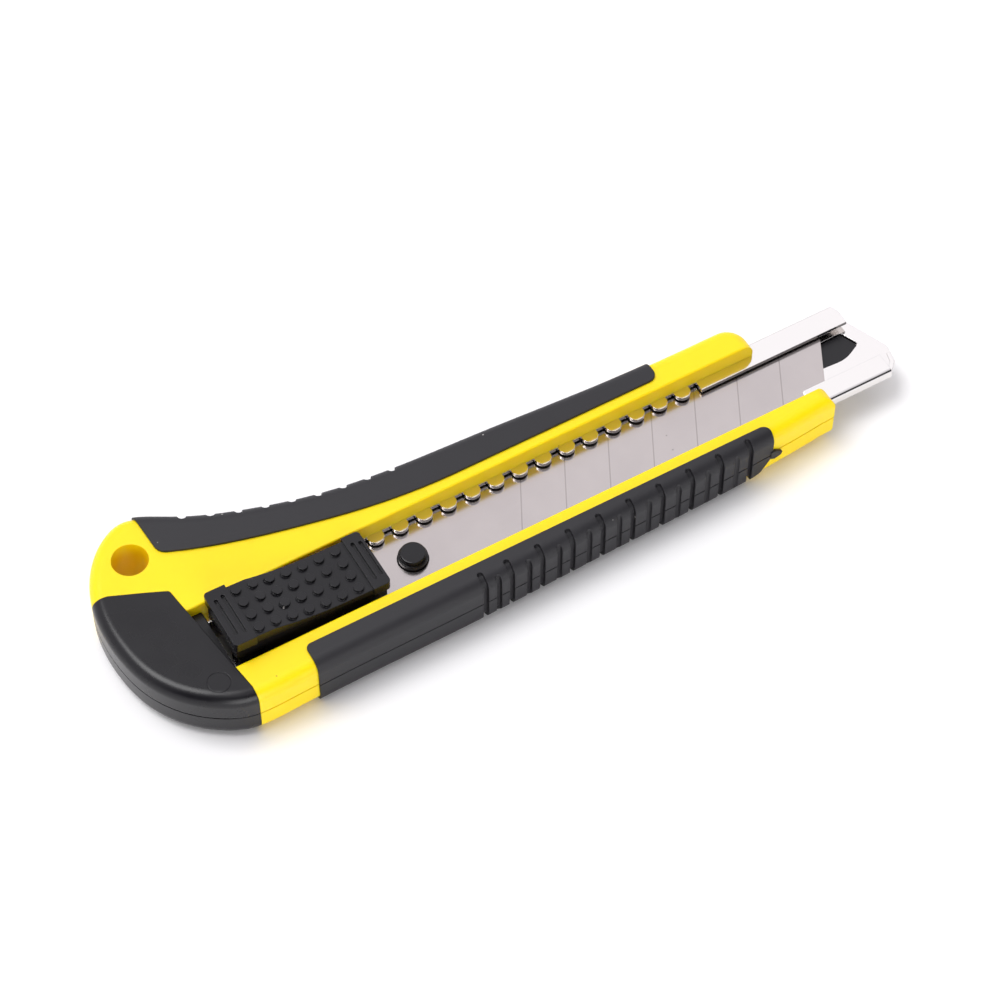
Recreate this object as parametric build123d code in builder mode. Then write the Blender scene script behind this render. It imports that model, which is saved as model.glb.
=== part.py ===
from build123d import *
import os

os.makedirs("parts", exist_ok=True)

# Snap-off utility knife with an 18 mm blade, lying flat, thumb slider up, blade drawn in.
# Millimetres. Origin: middle of the footprint, on the surface that the knife lies on.
# +X runs towards the blade's tip, +Y towards the hump with the lanyard hole, +Z up.

# handle moulding
handle_bottom = 0.5
handle_top = 12.5
handle_round = 2.5
slot_near = -16.55
slot_far = -0.95
rail_edge_round = 0.4
rail_corner = 1.8
far_rail_end = 57.8
near_rail_end = 64.6
near_front_y = -20.7
parting_z = 6.5
parting_depth = 0.2
parting_width = 0.3
lanyard_x = -72.8
lanyard_y = 14.65
lanyard_radius = 3.63

# soft grips, a skin over the handle's core
grip_proud = 0.4
grip_skin = 1.6
grip_round = 2.7
grip_bottom = 0.0
grip_top = 13.0
grip_groove_depth = 0.8
groove_width = 1.2
long_groove_pitch = 6.86
short_groove_pitch = 6.81
notch_width = 1.7
notch_pitch = 5.05

# steel channel and its pressed trough
channel_y = -8.05
channel_width = 20.2
channel_bottom = 6.0
channel_top = 8.8
sheet = 0.8
channel_rear = -65.5
near_wall_end = 80.0
far_lip_end = 78.9
rim_height = 0.5
near_lip_edge = -13.55
near_lip_cut = -16.7
near_lip_start = 61.8
far_lip_edge = -3.25
notch_root = -1.1
tooth_pitch = 5.34
tooth_width = 3.4
tooth_count = 17
first_tooth_x = -44.57
trough_near = -12.3
trough_far = -3.6
trough_end = 65.8
trough_floor = 5.6
insert_height = 0.75
seat_depth = 1.35

# blade: 18 mm wide, 110 mm long, 0.5 mm thick, scored every 10 mm
blade_y = -8.05
blade_width = 18.0
blade_rear = -35.1
blade_bottom = 7.0
blade_thick = 0.5
blade_nose_x = 70.05
blade_lean = 0.54
score_pitch = 10.0
score_count = 7
score_width = 0.16
score_depth = 0.09
bevel_width = 2.0
peg_x = -24.5
peg_y = -9.05
blade_hole_radius = 3.15
peg_radius = 2.6
peg_collar = 2.95
collar_top = 8.6
peg_top = 9.7

# slider
slider_y = -8.75
cap_width = 12.6
flange_width = 13.4
cap_rear = -65.5
cap_front = -32.5
rear_flange_end = -60.9
front_flange_start = -36.2
dot_radius = 1.0
dot_height = 0.55
dot_pitch_x = 3.5
dot_pitch_y = 3.14
first_dot_x = -59.5
carrier_rear = -65.1
deck_front = -33.2
tongue_front = -20.3
deck_width = 11.9
spring_thick = 0.35

# end cap
cap_gap = 0.1
plug_gap = 0.15
plug_front = -52.0
plug_near = -15.6
plug_far = -1.2
plug_bottom = 1.9
plug_top = 3.9
block_front = -65.8
block_top = 9.9


# ---------------------------------------------------------------------------
# Shared outlines, seen from above
# ---------------------------------------------------------------------------

near_side = [
    (62.0, -20.8), (50.0, -21.8), (30.0, -22.65), (10.0, -23.1),
    (-15.0, -23.9), (-45.0, -24.2), (-60.0, -24.6),
]
tail_side = [
    (-67.6, -24.2), (-72.1, -22.2), (-76.1, -19.2), (-80.0, -14.6), (-82.7, -9.0),
    (-84.0, -3.0), (-84.2, 5.0), (-83.0, 11.2), (-80.2, 17.2), (-76.6, 21.3), (-73.5, 23.4),
]
far_side = [
    (-70.0, 24.25), (-67.0, 23.4), (-60.2, 19.65), (-48.2, 14.65), (-33.2, 10.65),
    (-18.2, 8.9), (1.8, 7.85), (26.8, 6.35), (40.0, 6.0), (51.0, 5.95),
]

# the wall's line at handle size, from the near rail round the tail to the far rail
wall_line = Spline(*near_side, *tail_side, *far_side)
wall_steps = 56


def far_wall_y(x):
    """Y of the far wall at x, on straight runs between its points."""
    for (x0, y0), (x1, y1) in zip(far_side, far_side[1:]):
        if x0 <= x <= x1:
            return y0 + (y1 - y0) * (x - x0) / (x1 - x0)


def outline(grow):
    """Outline of the whole tool, grown outwards by `grow` (inwards where negative)."""
    points = []
    for k in range(wall_steps + 1):
        along = k / wall_steps
        outward = (wall_line % along).rotate(Axis.Z, 90)
        points.append(wall_line @ along + outward * grow)
    with BuildSketch() as shape:
        with BuildLine():
            wall = Spline(*points)
            Polyline(
                wall @ 1, (far_rail_end + grow, 5.9 + grow), (far_rail_end + grow, slot_far),
                (near_rail_end + grow, slot_near), (near_rail_end + grow, near_front_y - grow), wall @ 0,
            )
        make_face()
        corners = shape.vertices()
        fillet(corners.sort_by_distance((far_rail_end + grow, 5.9 + grow))[0], 4.5 + grow)
        fillet(corners.sort_by_distance((near_rail_end + grow, slot_near))[0], 1.9 + grow)
        fillet(corners.sort_by_distance((near_rail_end + grow, near_front_y - grow))[0], 3.2 + grow)
    return shape.sketch


with BuildSketch() as far_grip_plan:
    with BuildLine():
        inner = Spline(
            (-67.4, 13.4), (-58.6, 9.95), (-48.6, 7.05), (-38.6, 4.75),
            (-28.6, 2.85), (-18.6, 1.65), (-9.0, 1.25),
        )
        Polyline(inner @ 1, (36.9, 1.25), (36.9, 12.0), (0.0, 32.0), (-68.3, 32.0), inner @ 0)
    make_face()
    fillet(far_grip_plan.vertices().sort_by_distance((-67.4, 13.4))[0], 2.6)
    fillet(far_grip_plan.vertices().sort_by_distance((36.9, 1.25))[0], 1.9)

with BuildSketch() as near_grip_plan:
    with BuildLine():
        Polyline((-53.2, -19.25), (49.2, -19.25), (49.2, -30), (-53.2, -30), close=True)
    make_face()
    fillet(near_grip_plan.vertices().sort_by_distance((-53.2, -19.25))[0], 1.2)
    fillet(near_grip_plan.vertices().sort_by_distance((49.2, -19.25))[0], 1.8)

# the line on which the end cap leaves the handle, open towards -X
with BuildSketch() as end_cap_plan:
    with BuildLine():
        Polyline(
            (-90, 10.6), (-80.2, 9.4), (-73.6, 6.55), (-69.4, 4.6), (-68.9, 0.7), (-68.1, -4.35),
            (-66.4, -16.4), (-65.6, -22.0), (-65.6, -30), (-90, -30), close=True,
        )
    make_face()
    fillet(end_cap_plan.vertices().sort_by_distance((-69.4, 4.6))[0], 0.8)


# ---------------------------------------------------------------------------
# Envelopes that the shells are cut from
# ---------------------------------------------------------------------------

def envelope(grow, low, high, rounding):
    """Solid of the outline between two heights, with its upper and lower edges rounded."""
    with BuildPart() as solid:
        with BuildSketch(Plane.XY.offset(low)):
            add(outline(grow))
        extrude(amount=high - low)
        if rounding:
            fillet(solid.faces().sort_by(Axis.Z)[-1].edges(), rounding)
            fillet(solid.faces().sort_by(Axis.Z)[0].edges(), rounding)
    return solid.part


handle_blank = envelope(0, handle_bottom, handle_top, handle_round)
handle_core = envelope(-grip_skin, handle_bottom + grip_skin, handle_top - grip_skin, 0)
grip_blank = envelope(grip_proud, grip_bottom, grip_top, grip_round)
groove_floor = envelope(
    grip_proud - grip_groove_depth, grip_bottom + grip_groove_depth,
    grip_top - grip_groove_depth, grip_round - grip_groove_depth,
)


# ---------------------------------------------------------------------------
# Grips
# ---------------------------------------------------------------------------

with BuildPart() as far_grip_blank:
    with BuildSketch(Plane.XY.offset(grip_bottom)):
        add(far_grip_plan.sketch)
    extrude(amount=grip_top - grip_bottom)
    add(grip_blank, mode=Mode.INTERSECT)
    add(handle_core, mode=Mode.SUBTRACT)

with BuildPart() as near_grip_blank:
    with BuildSketch(Plane.XY.offset(grip_bottom)):
        add(near_grip_plan.sketch)
    extrude(amount=grip_top - grip_bottom)
    add(grip_blank, mode=Mode.INTERSECT)
    add(handle_core, mode=Mode.SUBTRACT)
    # lower corner at the blade end, cut off at a slant
    with BuildSketch(Plane.XZ.offset(10)):
        with BuildLine():
            Polyline((43, -1), (43, 0.3), (46.6, 2.6), (49.3, 6.0), (60, 6.0), (60, -1), close=True)
        make_face()
    extrude(amount=20, mode=Mode.SUBTRACT)

# nine notches in the far grip's edge, each one running down over the side
with BuildPart() as far_notches:
    with BuildSketch(Plane.XY.offset(grip_bottom - 1)):
        for k in range(9):
            notch_x = -59.6 + k * notch_pitch
            with Locations((notch_x, far_wall_y(notch_x) + 1.2)):
                SlotOverall(5.2, notch_width, rotation=90)
    extrude(amount=grip_top - grip_bottom + 2)
    add(groove_floor, mode=Mode.SUBTRACT)

# long and short finger grooves in turn
with BuildPart() as finger_grooves:
    with BuildSketch(Plane.XY.offset(grip_bottom - 1)):
        with Locations((-17.0, -26.05)):
            SlotOverall(9.4, groove_width, rotation=90)
        for k in range(9):
            with Locations((-11.2 + k * long_groove_pitch, -25.85 + 0.12 * k)):
                SlotOverall(9.2, groove_width, rotation=90)
            with Locations((-14.1 + k * short_groove_pitch, -26.05 + 0.12 * k)):
                SlotOverall(5.8, groove_width, rotation=90)
    extrude(amount=grip_top - grip_bottom + 2)
    add(groove_floor, mode=Mode.SUBTRACT)


# ---------------------------------------------------------------------------
# Handle body: one moulding with the channel's seat, the slot and the plug's socket
# ---------------------------------------------------------------------------

def parting_ring(grow):
    """Fine groove that the mould's joint leaves round the wall at mid height."""
    with BuildPart() as ring:
        with BuildSketch(Plane.XY.offset(parting_z - parting_width / 2)):
            add(outline(grow + 1))
            add(outline(grow - parting_depth), mode=Mode.SUBTRACT)
        extrude(amount=parting_width)
    return ring.part


handle_ring = parting_ring(0)
grip_ring = parting_ring(grip_proud)

with BuildPart() as far_grip:
    add(far_grip_blank.part)
    add(far_notches.part, mode=Mode.SUBTRACT)
    add(grip_ring, mode=Mode.SUBTRACT)
far_grip.part.label = "far_grip"

with BuildPart() as near_grip:
    add(near_grip_blank.part)
    add(finger_grooves.part, mode=Mode.SUBTRACT)
    add(grip_ring, mode=Mode.SUBTRACT)
    # small lug that the rubber's runner leaves at the blade end
    with BuildSketch(Plane.XZ.offset(21.9)):
        with BuildLine():
            Polyline(
                (48.7, 7.5), (49.8, 7.5), (51.3, 6.4), (51.0, 5.6), (49.6, 5.1), (48.7, 5.5), close=True,
            )
        make_face()
    extrude(amount=0.6)
near_grip.part.label = "near_grip"

with BuildPart() as handle_body:
    add(handle_blank)
    add(far_grip_blank.part, mode=Mode.SUBTRACT)
    add(near_grip_blank.part, mode=Mode.SUBTRACT)
    add(handle_ring, mode=Mode.SUBTRACT)
    # end cap's place
    with BuildSketch(Plane.XY):
        add(end_cap_plan.sketch)
    extrude(amount=handle_top + 1, mode=Mode.SUBTRACT)
    # slot, channel's seat under the rails, and room for the channel's trough
    with BuildSketch(Plane.YZ.offset(-80)):
        with BuildLine():
            near_wall = Line((slot_near, channel_bottom + 1), (slot_near, handle_top - rail_edge_round))
            near_edge = CenterArc(
                (slot_near - rail_edge_round, handle_top - rail_edge_round), rail_edge_round, 0, 90,
            )
            far_edge = CenterArc(
                (slot_far + rail_edge_round, handle_top - rail_edge_round), rail_edge_round, 90, 90,
            )
            Polyline(near_edge @ 1, near_edge @ 1 + (0, 2), far_edge @ 0 + (0, 2), far_edge @ 0)
            Polyline(far_edge @ 1, (slot_far, channel_bottom + 1), near_wall @ 0)
        make_face()
        with Locations((channel_y, (channel_bottom + channel_top) / 2)):
            Rectangle(channel_width, channel_top - channel_bottom)
        with Locations(((trough_near + trough_far) / 2, channel_bottom - seat_depth / 2)):
            Rectangle(trough_far - trough_near + 2 * sheet, seat_depth)
    extrude(amount=160, mode=Mode.SUBTRACT)
    # rounded corner where the near rail meets the slot
    with BuildSketch(Plane.XY.offset(channel_bottom)):
        with Locations((near_rail_end - rail_corner, slot_near - rail_corner)):
            Rectangle(rail_corner + 2, rail_corner + 1, align=(Align.MIN, Align.MIN))
            Circle(rail_corner, mode=Mode.SUBTRACT)
    extrude(amount=handle_top, mode=Mode.SUBTRACT)
    # socket for the end cap's plug
    with BuildSketch(Plane.YZ.offset(-80)):
        with Locations(((plug_near + plug_far) / 2, (plug_bottom + plug_top) / 2)):
            Rectangle(plug_far - plug_near + 2 * plug_gap, plug_top - plug_bottom + 2 * plug_gap)
    extrude(amount=80 + plug_front + plug_gap, mode=Mode.SUBTRACT)
    with Locations((lanyard_x, lanyard_y, handle_top)):
        Hole(lanyard_radius, depth=handle_top)
handle_body.part.label = "handle_body"


# ---------------------------------------------------------------------------
# Blade channel: stamped steel C-section, toothed lip on the far side
# ---------------------------------------------------------------------------

lip_start = first_tooth_x + (tooth_count - 0.5) * tooth_pitch + (tooth_pitch - tooth_width) / 2
teeth_start = first_tooth_x - tooth_pitch / 2 - (tooth_pitch - tooth_width) / 2

# floor's plan at the nose: slanted front with a rounded corner
with BuildSketch() as nose_plan:
    with BuildLine():
        Polyline(
            (channel_rear, -25), (near_wall_end, -25), (near_wall_end, -18.0), (82.9, -15.2),
            (83.6, -11.2), (78.0, 2.05), (77.0, 8), (channel_rear, 8), close=True,
        )
    make_face()
    fillet(nose_plan.vertices().sort_by_distance((83.6, -11.2))[0], 3.0)
    fillet(nose_plan.vertices().sort_by_distance((82.9, -15.2))[0], 1.2)

# dish in the nose, seen from above
with BuildSketch() as dish_plan:
    with BuildLine():
        Polyline(
            (68.2, -9.6), (74.5, -10.0), (78.95, -7.8), (77.2, -3.8), (68.2, -4.0), close=True,
        )
    make_face()
    fillet(dish_plan.vertices().sort_by_distance((74.5, -10.0))[0], 7.0)
    fillet(dish_plan.vertices().sort_by_distance((78.95, -7.8))[0], 0.8)
    fillet(dish_plan.vertices().sort_by_distance((77.2, -3.8))[0], 0.8)

with BuildSketch() as trough_plan:
    with BuildLine():
        Polyline(
            (channel_rear, trough_near), (trough_end, trough_near), (trough_end, trough_far),
            (channel_rear, trough_far), close=True,
        )
    make_face()
    fillet(trough_plan.vertices().sort_by(Axis.X)[-2:], 3.0)

with BuildPart() as blade_channel:
    with BuildSketch(Plane.YZ.offset(channel_rear)):
        with Locations((channel_y, (channel_bottom + channel_top) / 2)):
            RectangleRounded(channel_width, channel_top - channel_bottom, sheet)
            Rectangle(
                channel_width - 2 * sheet, channel_top - channel_bottom - 2 * sheet,
                mode=Mode.SUBTRACT,
            )
        with Locations(((near_lip_edge + far_lip_edge) / 2, channel_top)):
            Rectangle(far_lip_edge - near_lip_edge, 2 * sheet, mode=Mode.SUBTRACT)
    extrude(amount=90 - channel_rear)
    # trough and dish are pressed down out of the floor
    with BuildSketch(Plane.XY.offset(trough_floor - sheet)):
        add(trough_plan.sketch)
        add(dish_plan.sketch)
        offset(amount=sheet)
    extrude(amount=channel_bottom + sheet / 2 - trough_floor + sheet)
    with BuildSketch(Plane.XY.offset(channel_bottom - 3)):
        add(nose_plan.sketch)
    extrude(amount=8, mode=Mode.INTERSECT)
    with BuildSketch(Plane.XY.offset(trough_floor)):
        add(trough_plan.sketch)
        add(dish_plan.sketch)
    extrude(amount=channel_bottom + sheet - trough_floor, mode=Mode.SUBTRACT)
    # along the slot the near lip is cut back under the near rail
    with BuildSketch(Plane.XY.offset(channel_top - 1.5 * sheet)):
        with Locations((channel_rear - 1, near_lip_cut)):
            Rectangle(
                near_lip_start - channel_rear + 1, near_lip_edge + 0.5 - near_lip_cut,
                align=(Align.MIN, Align.MIN),
            )
    extrude(amount=2 * sheet, mode=Mode.SUBTRACT)
    # far lip: notches between round-ended teeth
    with BuildSketch(Plane.XY.offset(channel_top - 1.5 * sheet)):
        with BuildLine():
            Polyline(
                (teeth_start, notch_root), (lip_start, notch_root), (lip_start, far_lip_edge - 1),
                (teeth_start, far_lip_edge - 1), close=True,
            )
        make_face()
        for k in range(tooth_count):
            with Locations((first_tooth_x + k * tooth_pitch, far_lip_edge + 2)):
                SlotOverall(4.0, tooth_width, rotation=90, mode=Mode.SUBTRACT)
    extrude(amount=2 * sheet, mode=Mode.SUBTRACT)
    # lips and walls stop short of the floor's nose
    with BuildSketch(Plane.XY.offset(channel_bottom + sheet)):
        with BuildLine():
            Polyline(
                (near_wall_end, -19), (near_wall_end, -13.0), (far_lip_end, -12.0),
                (far_lip_end, 3), (90, 3), (90, -19), close=True,
            )
        make_face()
    extrude(amount=4, mode=Mode.SUBTRACT)
    # a low rim follows the nose's near corner, under the blade's path
    with BuildSketch(Plane.XY.offset(channel_bottom + sheet / 2)):
        with BuildLine():
            Polyline((79.5, -17.75), (82.2, -15.1), (82.8, -12.9))
        trace(line_width=sheet)
        add(nose_plan.sketch, mode=Mode.INTERSECT)
    extrude(amount=rim_height)
blade_channel.part.label = "blade_channel"

with BuildPart() as nose_insert:
    with BuildSketch(Plane.XY.offset(trough_floor)):
        add(dish_plan.sketch)
        offset(amount=-0.1)
    extrude(amount=insert_height)
    chamfer(nose_insert.faces().sort_by(Axis.Z)[-1].edges(), 0.1)
nose_insert.part.label = "nose_insert"


# ---------------------------------------------------------------------------
# Blade: ground edge on the far side, score lines across the upper face
# ---------------------------------------------------------------------------

blade_near = blade_y - blade_width / 2
blade_far = blade_y + blade_width / 2
blade_top = blade_bottom + blade_thick
blade_middle = blade_bottom + blade_thick / 2


def lean_line(x, y):
    """X of a line through (x, blade_y) that leans as the snapped ends do."""
    return x + blade_lean * (y - blade_y)


with BuildPart() as blade:
    with BuildSketch(Plane.YZ.offset(blade_rear)):
        with BuildLine():
            Polyline(
                (blade_near, blade_bottom), (blade_far - bevel_width, blade_bottom),
                (blade_far, blade_middle - 0.03), (blade_far, blade_middle + 0.03),
                (blade_far - bevel_width, blade_top), (blade_near, blade_top), close=True,
            )
        make_face()
    extrude(amount=90 - blade_rear)
    with BuildSketch(Plane.XY.offset(blade_bottom - 1)):
        with BuildLine():
            Polyline(
                (lean_line(blade_nose_x, blade_near - 1), blade_near - 1), (90, blade_near - 1),
                (90, blade_far + 1), (lean_line(blade_nose_x, blade_far + 1), blade_far + 1),
                close=True,
            )
        make_face()
    extrude(amount=3, mode=Mode.SUBTRACT)
    with Locations((peg_x, peg_y, blade_top)):
        Hole(blade_hole_radius, depth=2 * blade_thick)
    with BuildSketch(Plane.XY.offset(blade_top - score_depth)):
        for k in range(1, score_count + 1):
            x = blade_nose_x - k * score_pitch
            with BuildLine():
                Polyline(
                    (lean_line(x, blade_near - 1), blade_near - 1),
                    (lean_line(x + score_width, blade_near - 1), blade_near - 1),
                    (lean_line(x + score_width, blade_far + 1), blade_far + 1),
                    (lean_line(x, blade_far + 1), blade_far + 1), close=True,
                )
            make_face()
    extrude(amount=1, mode=Mode.SUBTRACT)
blade.part.label = "blade"


# ---------------------------------------------------------------------------
# Slider: runner in the channel, thumb piece on top, leaf spring at the teeth
# ---------------------------------------------------------------------------

runner_bottom = channel_bottom + sheet + 0.15
runner_top = channel_top - sheet - 0.15
deck_bottom = channel_top + 0.3
seam_rear_z = 14.7
seam_front_z = 11.8
spring_z = channel_top - sheet + 0.05
spring_y = -4.9
nose_x = first_tooth_x + tooth_pitch / 2

with BuildSketch() as spring_plan:
    with BuildLine():
        FilletPolyline(
            (-64.2, -12.9), (-64.2, spring_y), (nose_x - 3.1, spring_y), (nose_x, -1.9),
            (nose_x + 3.1, spring_y), (nose_x + 4.4, spring_y), radius=0.8,
        )
    trace(line_width=spring_thick)

with BuildPart() as detent_spring:
    with BuildSketch(Plane.XY.offset(spring_z)):
        add(spring_plan.sketch)
    extrude(amount=sheet - 0.1)
    # the anchor end stands up behind the thumb piece
    with BuildSketch(Plane.XY.offset(spring_z)):
        with Locations((-64.2, -12.6)):
            Rectangle(spring_thick, 1.4)
    extrude(amount=2.4)
detent_spring.part.label = "detent_spring"


def thumb_plane(width):
    """Upright plane along X, half the width beyond the slider's middle on the far side."""
    return Plane.XZ.offset(-slider_y - width / 2)


with BuildPart() as slider_carrier:
    # plate that runs under the lips, behind the blade
    with BuildSketch(Plane.XY.offset(runner_bottom)):
        with Locations(((carrier_rear + blade_rear - 0.3) / 2, channel_y)):
            Rectangle(blade_rear - 0.3 - carrier_rear, channel_width - 2 * sheet - 0.6)
    extrude(amount=runner_top - runner_bottom)
    # tongue in the trough, under the blade
    with BuildSketch(Plane.XY.offset(trough_floor + 0.15)):
        with Locations(((carrier_rear + tongue_front) / 2, (trough_near + trough_far) / 2)):
            RectangleRounded(tongue_front - carrier_rear, trough_far - trough_near - 0.6, 1.5)
    extrude(amount=blade_bottom - 0.15 - trough_floor - 0.15)
    # rib that joins plate and tongue, behind the blade
    with BuildSketch(Plane.XY.offset(trough_floor + 0.15)):
        with Locations(((carrier_rear + blade_rear - 0.3) / 2, (trough_near + trough_far) / 2)):
            Rectangle(blade_rear - 0.3 - carrier_rear, trough_far - trough_near - 0.6)
    extrude(amount=runner_top - trough_floor - 0.25)
    # neck between the lips
    with BuildSketch(Plane.XY.offset(runner_top - 0.1)):
        with Locations(((carrier_rear + blade_rear - 0.3) / 2, (near_lip_edge + far_lip_edge) / 2)):
            Rectangle(blade_rear - 0.3 - carrier_rear, far_lip_edge - near_lip_edge - 0.6)
    extrude(amount=deck_bottom - runner_top + 0.2)
    # deck under the thumb piece, its top sloping down to the front
    with BuildSketch(thumb_plane(deck_width)):
        with BuildLine():
            Polyline(
                (carrier_rear, deck_bottom), (deck_front, deck_bottom),
                (deck_front, seam_front_z), (carrier_rear, seam_rear_z - 0.15), close=True,
            )
        make_face()
    extrude(amount=deck_width)
    # recess that shows the spring's anchor
    with BuildSketch(Plane.XY.offset(deck_bottom - 0.5)):
        with Locations((-62.4, -14.2)):
            Rectangle(5.4, 3.2)
    extrude(amount=2.6, mode=Mode.SUBTRACT)
    # pocket for the spring
    with BuildSketch(Plane.XY.offset(spring_z - 0.1)):
        add(spring_plan.sketch)
        offset(amount=0.2)
        with Locations((nose_x, -4.0)):
            Rectangle(9.4, 2.4)
    extrude(amount=sheet + 0.1, mode=Mode.SUBTRACT)
    with BuildSketch(Plane.XY.offset(spring_z - 0.1)):
        with Locations((-64.2, -12.6)):
            Rectangle(spring_thick + 0.4, 2.2)
    extrude(amount=2.8, mode=Mode.SUBTRACT)
    # peg through the blade's hole
    with BuildSketch(Plane.XY.offset(trough_floor + 0.5)):
        with Locations((peg_x, peg_y)):
            Circle(peg_collar)
    extrude(amount=collar_top - trough_floor - 0.5)
    with BuildSketch(Plane.XY.offset(collar_top)):
        with Locations((peg_x, peg_y)):
            Circle(peg_radius)
    extrude(amount=peg_top - collar_top)
    fillet(
        slider_carrier.edges().filter_by(GeomType.CIRCLE).filter_by_position(
            Axis.Z, peg_top - 0.01, peg_top + 0.01,
        ), 0.35,
    )
slider_carrier.part.label = "slider_carrier"


def thumb_profile(raise_by):
    """Side view of the thumb piece: flat, hollow and flat again between its two flanges."""
    with BuildSketch() as profile:
        with BuildLine():
            top_rear = Line((cap_rear, 16.75 + raise_by), (-56.9, 16.2 + raise_by))
            hollow = ThreePointArc(top_rear @ 1, (-49.6, 14.5 + raise_by), (-40.8, 13.7 + raise_by))
            Polyline(
                hollow @ 1, (cap_front, 13.45 + raise_by), (cap_front, seam_front_z),
                (cap_rear, seam_rear_z), top_rear @ 0,
            )
        make_face()
    return profile.sketch


with BuildPart() as thumb_dots:
    with BuildSketch(Plane.XY.offset(seam_front_z + 1)):
        for row in range(4):
            for column in range(7):
                dot_y = slider_y + (row - 1.5) * dot_pitch_y
                with Locations((first_dot_x + column * dot_pitch_x, dot_y)):
                    Circle(dot_radius)
    extrude(amount=8)
    with BuildSketch(thumb_plane(20)):
        add(thumb_profile(dot_height))
    extrude(amount=20, mode=Mode.INTERSECT)

with BuildPart() as slider_cap:
    with BuildSketch(thumb_plane(cap_width)):
        add(thumb_profile(0))
    extrude(amount=cap_width)
    with BuildSketch(thumb_plane(flange_width)):
        with BuildLine():
            Polyline(
                (cap_rear, seam_rear_z + 0.1), (cap_rear, 17.1), (rear_flange_end, 17.0),
                (rear_flange_end, 14.4), close=True,
            )
        make_face()
        with BuildLine():
            Polyline(
                (front_flange_start, 12.2), (front_flange_start, 14.15), (cap_front, 14.1),
                (cap_front, seam_front_z + 0.1), close=True,
            )
        make_face()
    extrude(amount=flange_width)
    with BuildSketch(Plane.XY.offset(seam_front_z - 1)):
        with Locations(((cap_rear + cap_front) / 2, slider_y)):
            RectangleRounded(cap_front - cap_rear, flange_width, 0.9)
    extrude(amount=8, mode=Mode.INTERSECT)
    # two grip grooves in each flange
    with BuildSketch(Plane.XY.offset(16.4)):
        with Locations((-64.0, slider_y)):
            SlotOverall(8.8, 0.75, rotation=90)
        with Locations((-62.4, slider_y)):
            SlotOverall(9.6, 0.75, rotation=90)
    extrude(amount=1, mode=Mode.SUBTRACT)
    with BuildSketch(Plane.XY.offset(13.5)):
        with Locations((-34.9, slider_y)):
            SlotOverall(9.6, 0.75, rotation=90)
        with Locations((-33.4, slider_y)):
            SlotOverall(8.8, 0.75, rotation=90)
    extrude(amount=1, mode=Mode.SUBTRACT)
    add(thumb_dots.part)
slider_cap.part.label = "slider_cap"


# ---------------------------------------------------------------------------
# End cap: pulls off to the rear, its plug sits in the handle's socket
# ---------------------------------------------------------------------------

with BuildPart() as end_cap:
    with BuildSketch(Plane((-cap_gap, 0, 0))):
        add(end_cap_plan.sketch)
    extrude(amount=handle_top + 1)
    add(handle_blank, mode=Mode.INTERSECT)
    add(handle_ring, mode=Mode.SUBTRACT)
    with BuildSketch(Plane.YZ.offset(-72)):
        with Locations(((plug_near + plug_far) / 2, (plug_bottom + plug_top) / 2)):
            Rectangle(plug_far - plug_near, plug_top - plug_bottom)
    extrude(amount=72 + plug_front)
    chamfer(end_cap.faces().sort_by(Axis.X)[-1].edges(), 0.5)
    # block that closes the slot behind the slider
    with BuildSketch(Plane.XY.offset(channel_bottom + 0.1)):
        with Locations((-72, (slot_near + slot_far) / 2)):
            Rectangle(72 + block_front, slot_far - slot_near - 0.3, align=(Align.MIN, Align.CENTER))
    extrude(amount=block_top - channel_bottom - 0.1)
    # gate mark on the side
    with Locations((-71.0, -22.1, 4.6)):
        Sphere(0.5, mode=Mode.SUBTRACT)
    # ring that an ejector pin leaves
    with BuildSketch(Plane.XY.offset(handle_top - 0.06)):
        with Locations((-70.6, -18.2)):
            Circle(2.3)
            Circle(2.15, mode=Mode.SUBTRACT)
    extrude(amount=1, mode=Mode.SUBTRACT)
end_cap.part.label = "end_cap"


for piece in (
    handle_body, far_grip, near_grip, blade_channel, nose_insert,
    blade, slider_carrier, slider_cap, detent_spring, end_cap,
):
    export_step(piece.part, f"parts/{piece.part.label}.step")
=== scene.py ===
import bpy
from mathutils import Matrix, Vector

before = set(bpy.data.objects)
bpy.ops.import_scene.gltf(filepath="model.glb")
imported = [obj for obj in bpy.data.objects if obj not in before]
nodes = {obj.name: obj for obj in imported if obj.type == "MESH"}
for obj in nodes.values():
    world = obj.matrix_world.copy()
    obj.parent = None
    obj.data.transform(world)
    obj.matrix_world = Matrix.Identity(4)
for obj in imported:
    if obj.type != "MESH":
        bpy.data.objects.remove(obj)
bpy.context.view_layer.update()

# ---------------------------------------------------------------------------
# The place the knife is laid out in: a white table in a white tent, with three
# soft panels, and a long lens that looks down on it from the near left.
# ---------------------------------------------------------------------------


def linear(code):
    """Linear colour of an sRGB hex value."""
    parts = [int(code[i:i + 2], 16) / 255 for i in (1, 3, 5)]
    return [c / 12.92 if c <= 0.04045 else ((c + 0.055) / 1.055) ** 2.4 for c in parts] + [1.0]


def add_node(tree, kind, sockets=(), links=(), **settings):
    """Adds a shader node with its settings, its sockets' values and its sockets' sources."""
    node = tree.nodes.new("ShaderNode" + kind)
    for name, value in settings.items():
        setattr(node, name, value)
    for socket, value in dict(sockets).items():
        node.inputs[socket].default_value = value
    for socket, source in dict(links).items():
        tree.links.new(source, node.inputs[socket])
    return node


def new_material(name, **sockets):
    """A material with one principled shader, and that shader."""
    material = bpy.data.materials.new(name)
    material.use_nodes = True
    shader = material.node_tree.nodes["Principled BSDF"]
    for socket, value in sockets.items():
        shader.inputs[socket.replace("_", " ")].default_value = value
    return material, shader


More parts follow.
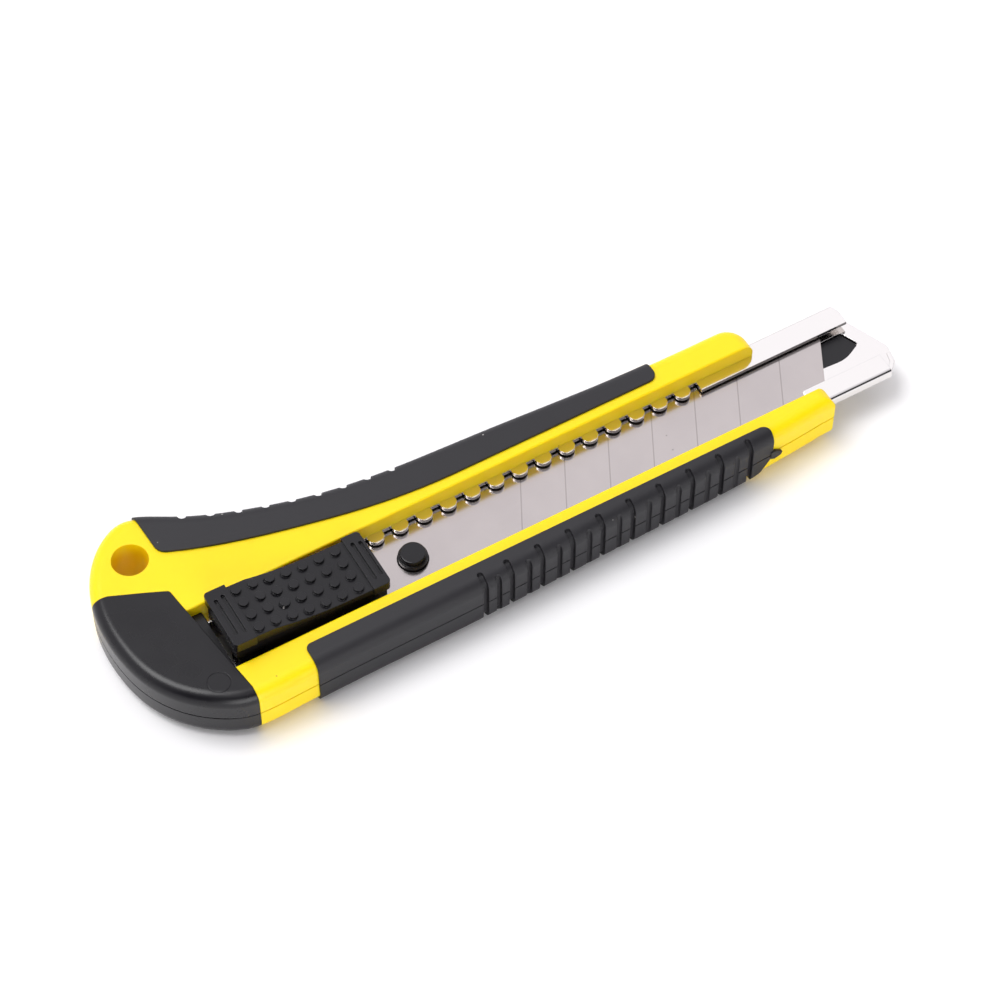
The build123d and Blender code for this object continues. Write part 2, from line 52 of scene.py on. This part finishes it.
table_side = 4.0
bpy.ops.object.select_all(action="DESELECT")
bpy.ops.mesh.primitive_plane_add(size=table_side)
table = bpy.context.object
table.name = "table_top"
white_table, shader = new_material("white_laminate_table", Roughness=0.6)
tree = white_table.node_tree
place = add_node(tree, "TexCoord").outputs["Object"]
mottle = add_node(tree, "TexNoise", {"Scale": 9.0, "Detail": 3.0}, {"Vector": place})
tone = add_node(tree, "Mix", {"A": linear("#f7f6f6"), "B": linear("#fbfbfb")},
                {"Factor": mottle.outputs["Fac"]}, data_type="RGBA")
tree.links.new(tone.outputs["Result"], shader.inputs["Base Color"])
table.data.materials.append(white_table)

# white tent with a dark band low down on the near side, where one looks in:
# rounded edges that face it turn dark between two bright faces
world = bpy.data.worlds.new("white_tent")
world.use_nodes = True
bpy.context.scene.world = world
tree = world.node_tree
direction = add_node(tree, "TexCoord").outputs["Generated"]
axes = add_node(tree, "SeparateXYZ", (), {"Vector": direction})
lower = add_node(tree, "MapRange", {"From Min": 0.16, "From Max": 0.32}, {"Value": axes.outputs["Z"]})
upper = add_node(tree, "MapRange", {"From Min": 0.92, "From Max": 0.74}, {"Value": axes.outputs["Z"]})
nearer = add_node(tree, "MapRange", {"From Min": 0.1, "From Max": -0.3}, {"Value": axes.outputs["Y"]})
band = add_node(tree, "Math", (), {0: lower.outputs["Result"], 1: upper.outputs["Result"]},
                operation="MULTIPLY")
dark = add_node(tree, "Math", (), {0: band.outputs["Value"], 1: nearer.outputs["Result"]},
                operation="MULTIPLY")
cloth = add_node(tree, "MapRange", {"To Min": 0.95, "To Max": 0.02}, {"Value": dark.outputs["Value"]})
backdrop = tree.nodes["Background"]
backdrop.inputs["Color"].default_value = linear("#fcfaff")
tree.links.new(cloth.outputs["Result"], backdrop.inputs["Strength"])

# a weak panel behind on the right, which the blade mirrors, the main one high on the left,
# and a broad low one in front for the walls
for place_at, size, watts in (
    ((0.95, 0.95, 1.2), 1.2, 1.2), ((-0.5, 0.4, 1.5), 0.9, 15.0), ((-0.3, -1.2, 0.3), 0.9, 9.0),
):
    bpy.ops.object.light_add(type="AREA", location=place_at)
    lamp = bpy.context.object
    lamp.data.size = size
    lamp.data.energy = watts
    lamp.rotation_euler = (-Vector(place_at)).to_track_quat("-Z", "Y").to_euler()

eye = (-0.18396, -0.31826, 0.52418)
gaze = Vector((0.2868, 0.4961, -0.8195))
bpy.ops.object.camera_add(location=eye)
camera = bpy.context.object
camera.rotation_euler = gaze.to_track_quat("-Z", "Y").to_euler()
camera.data.lens = 116.7
camera.data.sensor_width = 36
bpy.context.scene.camera = camera
bpy.context.scene.view_settings.view_transform = "Standard"

# ---------------------------------------------------------------------------
# Handle body: one injection moulding in yellow ABS, satin from a spark-eroded
# mould. Light soaks a little way into it, which warms its colour.
# ---------------------------------------------------------------------------

yellow_abs, shader = new_material(
    "yellow_abs_moulded", IOR=1.53, Specular_IOR_Level=0.35,
    Subsurface_Weight=0.25, Subsurface_Radius=(1.0, 0.4, 0.05), Subsurface_Scale=0.0015,
)
tree = yellow_abs.node_tree
place = add_node(tree, "TexCoord").outputs["Object"]
# colour drifts a little over some 12 mm, as the pigment does along the melt's way
drift = add_node(tree, "TexNoise", {"Scale": 1 / 0.012, "Detail": 3.0}, {"Vector": place})
tone = add_node(tree, "Mix", {"A": linear("#fbd800"), "B": linear("#ffdd00")},
                {"Factor": drift.outputs["Fac"]}, data_type="RGBA")
# dark grains of dust up to 0.5 mm across, in cells of 6 mm
dust = add_node(tree, "TexVoronoi", {"Scale": 1 / 0.006}, {"Vector": place})
grain = add_node(tree, "MapRange", {"From Min": 0.025, "From Max": 0.04, "To Min": 0.45, "To Max": 0.0},
                 {"Value": dust.outputs["Distance"]})
dusted = add_node(tree, "Mix", {"B": linear("#6e5a1c")},
                  {"Factor": grain.outputs["Result"], "A": tone.outputs["Result"]}, data_type="RGBA")
tree.links.new(dusted.outputs["Result"], shader.inputs["Base Color"])
flow = add_node(tree, "TexNoise", {"Scale": 1 / 0.004, "Detail": 4.0}, {"Vector": place})
gloss = add_node(tree, "MapRange", {"To Min": 0.3, "To Max": 0.46}, {"Value": flow.outputs["Fac"]})
tree.links.new(gloss.outputs["Result"], shader.inputs["Roughness"])
# spark-eroded grain of 0.25 mm
satin = add_node(tree, "TexNoise", {"Scale": 1 / 0.00025, "Detail": 2.0}, {"Vector": place})
edge = add_node(tree, "Bevel", {"Radius": 0.00025}, samples=4)
relief = add_node(tree, "Bump", {"Strength": 0.25, "Distance": 0.00002},
                  {"Height": satin.outputs["Fac"], "Normal": edge.outputs["Normal"]})
tree.links.new(relief.outputs["Normal"], shader.inputs["Normal"])


def coat(piece, material):
    """Gives a piece its one material."""
    piece.data.materials.clear()
    piece.data.materials.append(material)


coat(nodes["handle_body"], yellow_abs)

# ---------------------------------------------------------------------------
# Soft grips: black thermoplastic rubber moulded over the handle in a second
# shot. Matt, fine grained, and it holds light dust.
# ---------------------------------------------------------------------------

black_rubber, shader = new_material("black_tpr_moulded", IOR=1.5, Specular_IOR_Level=0.42)
tree = black_rubber.node_tree
place = add_node(tree, "TexCoord").outputs["Object"]
drift = add_node(tree, "TexNoise", {"Scale": 1 / 0.009, "Detail": 4.0}, {"Vector": place})
tone = add_node(tree, "Mix", {"A": linear("#19181c"), "B": linear("#232226")},
                {"Factor": drift.outputs["Fac"]}, data_type="RGBA")
dust = add_node(tree, "TexVoronoi", {"Scale": 1 / 0.005}, {"Vector": place})
grain = add_node(tree, "MapRange", {"From Min": 0.03, "From Max": 0.05, "To Min": 0.75, "To Max": 0.0},
                 {"Value": dust.outputs["Distance"]})
dusted = add_node(tree, "Mix", {"B": linear("#b8b4b0")},
                  {"Factor": grain.outputs["Result"], "A": tone.outputs["Result"]}, data_type="RGBA")
tree.links.new(dusted.outputs["Result"], shader.inputs["Base Color"])
gloss = add_node(tree, "MapRange", {"To Min": 0.42, "To Max": 0.6}, {"Value": drift.outputs["Fac"]})
tree.links.new(gloss.outputs["Result"], shader.inputs["Roughness"])
satin = add_node(tree, "TexNoise", {"Scale": 1 / 0.0002, "Detail": 2.0}, {"Vector": place})
edge = add_node(tree, "Bevel", {"Radius": 0.0003}, samples=4)
relief = add_node(tree, "Bump", {"Strength": 0.4, "Distance": 0.00003},
                  {"Height": satin.outputs["Fac"], "Normal": edge.outputs["Normal"]})
tree.links.new(relief.outputs["Normal"], shader.inputs["Normal"])

for name in ("far_grip", "near_grip"):
    coat(nodes[name], black_rubber)

# ---------------------------------------------------------------------------
# Blade channel: spring steel sheet, stamped, folded to a C and chromed.
# Mirror bright, with the slight waves that stamping leaves.
# ---------------------------------------------------------------------------

chrome, shader = new_material("chromed_steel_sheet", Metallic=1.0, Base_Color=linear("#e9e6e4"))
tree = chrome.node_tree
place = add_node(tree, "TexCoord").outputs["Object"]
haze = add_node(tree, "TexNoise", {"Scale": 1 / 0.003, "Detail": 5.0}, {"Vector": place})
gloss = add_node(tree, "MapRange", {"To Min": 0.06, "To Max": 0.16}, {"Value": haze.outputs["Fac"]})
tree.links.new(gloss.outputs["Result"], shader.inputs["Roughness"])
wave = add_node(tree, "TexNoise", {"Scale": 1 / 0.006, "Detail": 1.0}, {"Vector": place})
edge = add_node(tree, "Bevel", {"Radius": 0.00015}, samples=4)
relief = add_node(tree, "Bump", {"Strength": 0.3, "Distance": 0.00005},
                  {"Height": wave.outputs["Fac"], "Normal": edge.outputs["Normal"]})
tree.links.new(relief.outputs["Normal"], shader.inputs["Normal"])

coat(nodes["blade_channel"], chrome)

# ---------------------------------------------------------------------------
# Black plastic pieces: slider, thumb piece, end cap and nose insert, moulded
# in black ABS with a satin face that holds a little light dust.
# ---------------------------------------------------------------------------

black_abs, shader = new_material("black_abs_moulded", IOR=1.49, Specular_IOR_Level=0.38)
tree = black_abs.node_tree
place = add_node(tree, "TexCoord").outputs["Object"]
drift = add_node(tree, "TexNoise", {"Scale": 1 / 0.008, "Detail": 4.0}, {"Vector": place})
tone = add_node(tree, "Mix", {"A": linear("#0d0c10"), "B": linear("#151418")},
                {"Factor": drift.outputs["Fac"]}, data_type="RGBA")
dust = add_node(tree, "TexVoronoi", {"Scale": 1 / 0.006}, {"Vector": place})
grain = add_node(tree, "MapRange", {"From Min": 0.03, "From Max": 0.05, "To Min": 0.7, "To Max": 0.0},
                 {"Value": dust.outputs["Distance"]})
dusted = add_node(tree, "Mix", {"B": linear("#a9a5a2")},
                  {"Factor": grain.outputs["Result"], "A": tone.outputs["Result"]}, data_type="RGBA")
tree.links.new(dusted.outputs["Result"], shader.inputs["Base Color"])
gloss = add_node(tree, "MapRange", {"To Min": 0.22, "To Max": 0.34}, {"Value": drift.outputs["Fac"]})
tree.links.new(gloss.outputs["Result"], shader.inputs["Roughness"])
satin = add_node(tree, "TexNoise", {"Scale": 1 / 0.0002, "Detail": 2.0}, {"Vector": place})
edge = add_node(tree, "Bevel", {"Radius": 0.00025}, samples=4)
relief = add_node(tree, "Bump", {"Strength": 0.25, "Distance": 0.00002},
                  {"Height": satin.outputs["Fac"], "Normal": edge.outputs["Normal"]})
tree.links.new(relief.outputs["Normal"], shader.inputs["Normal"])

for name in ("slider_carrier", "slider_cap", "end_cap", "nose_insert"):
    coat(nodes[name], black_abs)

# ---------------------------------------------------------------------------
# Blade: rolled and ground carbon steel strip, scored across for snapping.
# Satin, with fine lines along the strip and dark specks.
# ---------------------------------------------------------------------------

blade_steel, shader = new_material("ground_carbon_steel", Metallic=1.0)
tree = blade_steel.node_tree
place = add_node(tree, "TexCoord").outputs["Object"]
drift = add_node(tree, "TexNoise", {"Scale": 1 / 0.01, "Detail": 5.0}, {"Vector": place})
tone = add_node(tree, "Mix", {"A": linear("#b4adac"), "B": linear("#c4bdbb")},
                {"Factor": drift.outputs["Fac"]}, data_type="RGBA")
dust = add_node(tree, "TexVoronoi", {"Scale": 1 / 0.005}, {"Vector": place})
grain = add_node(tree, "MapRange", {"From Min": 0.02, "From Max": 0.03, "To Min": 0.8, "To Max": 0.0},
                 {"Value": dust.outputs["Distance"]})
dusted = add_node(tree, "Mix", {"B": linear("#5c5650")},
                  {"Factor": grain.outputs["Result"], "A": tone.outputs["Result"]}, data_type="RGBA")
# score lines darkened with painted shade, standing in for the shade that falls in their grooves; behind the
# last one the strip is plain
score_pitch = 0.01
score_lean = 0.54
score_start = 0.07448
plain_before = 0.002
lean = add_node(tree, "VectorMath", {1: (1.0, -score_lean, 0.0)}, {0: place}, operation="DOT_PRODUCT")
from_tip = add_node(tree, "Math", {1: score_start}, {0: lean.outputs["Value"]}, operation="SUBTRACT")
nearest = add_node(tree, "Math", {1: score_pitch / 2}, {0: from_tip.outputs["Value"]}, operation="PINGPONG")
scored = add_node(tree, "MapRange", {"From Min": 0.00008, "From Max": 0.0002, "To Min": 0.3, "To Max": 0.0},
                  {"Value": nearest.outputs["Value"]})
ahead = add_node(tree, "Math", {1: plain_before}, {0: lean.outputs["Value"]}, operation="GREATER_THAN")
score_line_shade = add_node(tree, "Math", (), {0: scored.outputs["Result"], 1: ahead.outputs["Value"]},
                 operation="MULTIPLY")
# the painted shade of the score lines is mixed into the blade's colour here
lined = add_node(tree, "Mix", {"B": linear("#6f6864")},
                 {"Factor": score_line_shade.outputs["Value"], "A": dusted.outputs["Result"]}, data_type="RGBA")
tree.links.new(lined.outputs["Result"], shader.inputs["Base Color"])
stretch = add_node(tree, "Mapping", {"Scale": (0.04, 1.0, 1.0)}, {"Vector": place})
lines = add_node(tree, "TexNoise", {"Scale": 1 / 0.0002, "Detail": 3.0},
                 {"Vector": stretch.outputs["Vector"]})
gloss = add_node(tree, "MapRange", {"To Min": 0.14, "To Max": 0.24}, {"Value": lines.outputs["Fac"]})
tree.links.new(gloss.outputs["Result"], shader.inputs["Roughness"])
relief = add_node(tree, "Bump", {"Strength": 0.15, "Distance": 0.00001}, {"Height": lines.outputs["Fac"]})
tree.links.new(relief.outputs["Normal"], shader.inputs["Normal"])

coat(nodes["blade"], blade_steel)

# ---------------------------------------------------------------------------
# Detent spring: a strip of tempered spring steel, bright, with a straw tint.
# ---------------------------------------------------------------------------

spring_steel, shader = new_material("tempered_spring_steel", Metallic=1.0, Base_Color=linear("#cfc7b8"))
tree = spring_steel.node_tree
place = add_node(tree, "TexCoord").outputs["Object"]
haze = add_node(tree, "TexNoise", {"Scale": 1 / 0.0008, "Detail": 4.0}, {"Vector": place})
gloss = add_node(tree, "MapRange", {"To Min": 0.15, "To Max": 0.35}, {"Value": haze.outputs["Fac"]})
tree.links.new(gloss.outputs["Result"], shader.inputs["Roughness"])

coat(nodes["detent_spring"], spring_steel)
